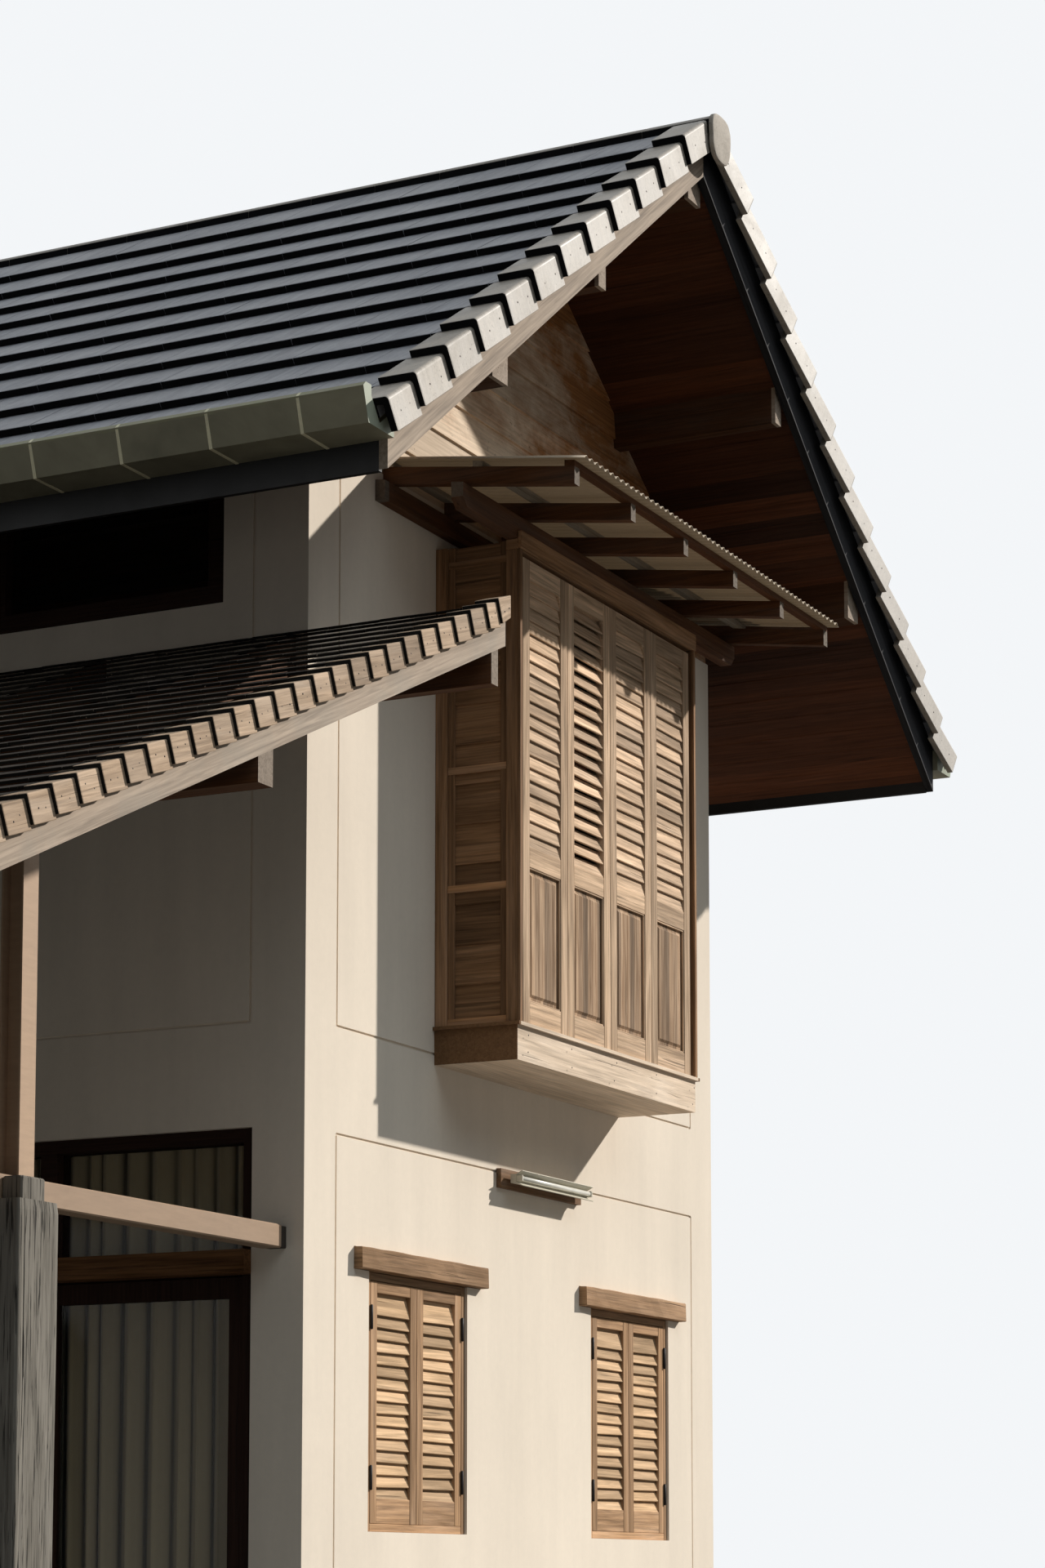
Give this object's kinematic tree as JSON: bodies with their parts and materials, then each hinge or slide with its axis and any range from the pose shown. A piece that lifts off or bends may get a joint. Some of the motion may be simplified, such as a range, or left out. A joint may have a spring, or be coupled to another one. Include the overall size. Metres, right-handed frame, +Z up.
{
  "type": "two storey villa with louvred bay and lean-to porch",
  "caption": "Small rendered villa with a steep tiled gable roof, a timber bay of louvred shutters under a corrugated canopy, and a shingled lean-to porch with a sliding glazed door.",
  "frame": {"origin": "centre of the main block's footprint, on the ground", "axes": "+Z up, +X across the gables away from the porch, +Y along the ridge away from the bay"},
  "size_m": [9.7406, 10.078, 8.115],
  "materials": {
    "render": "smooth cream render",
    "concrete": "trowelled concrete",
    "roof_tile": "charcoal, matt",
    "pale_timber": "weathered teak, dry",
    "dark_timber": "dark red-brown oiled timber",
    "black_paint": "black, satin",
    "painted_steel": "beige, satin",
    "gutter_metal": "grey-green, satin",
    "corrugated_sheet": "grey-beige, dull",
    "glass": "clear",
    "curtain_cloth": "soft, pleated"
  },
  "bodies": {
    "house": {"ground_slab": "concrete", "upper_floor": "concrete", "door_step": "render", "front_wall": "render", "back_wall": "render", "right_wall": "render", "left_wall_corner": "render", "left_wall_rear": "render", "left_wall_upper": "render", "gable_boarding": "dark_timber", "roof_purlins": "dark_timber", "ridge_beam": "dark_timber", "soffit_boards": "dark_timber", "rafters": "dark_timber", "roof_tiles_left": "roof_tile", "roof_tiles_right": "roof_tile", "ridge_tiles": "roof_tile", "barge_boards": "pale_timber", "barge_tiles": "roof_tile", "fascias": "black_paint", "gutters": "gutter_metal", "bay_base": "pale_timber", "bay_frame": "pale_timber", "bay_sides": "dark_timber", "bay_shutters": "pale_timber", "canopy_beams": "dark_timber", "canopy_rafters": "dark_timber", "canopy_battens": "dark_timber", "canopy_sheet": "corrugated_sheet", "window_frames": "pale_timber", "window_shutters": "pale_timber", "window_lintels": "pale_timber", "strip_window_frames": "dark_timber", "strip_window_glass": "glass", "lamp_board": "pale_timber", "wall_lamp": "painted_steel", "door_jambs": "dark_timber", "door_head": "dark_timber", "door_sill": "dark_timber", "fixed_door_leaf": "dark_timber", "fixed_door_glass": "glass", "door_pelmet": "dark_timber", "curtain_track": "painted_steel", "curtains": "curtain_cloth", "porch_shingles": "dark_timber", "porch_rafters": "dark_timber", "porch_barge_boards": "pale_timber", "porch_barge_blocks": "pale_timber", "porch_purlins": "dark_timber", "steel_posts": "painted_steel", "steel_beams": "painted_steel", "timber_posts": "pale_timber"},
    "door_leaf": {"sliding_door_leaf": "dark_timber", "sliding_door_glass": "glass"}
  },
  "joints": [
    {"name": "door_slide", "type": "slide", "parent": "house", "child": "door_leaf", "axis": [0, 1, 0], "range_m": [0, 0.96]}
  ]
}
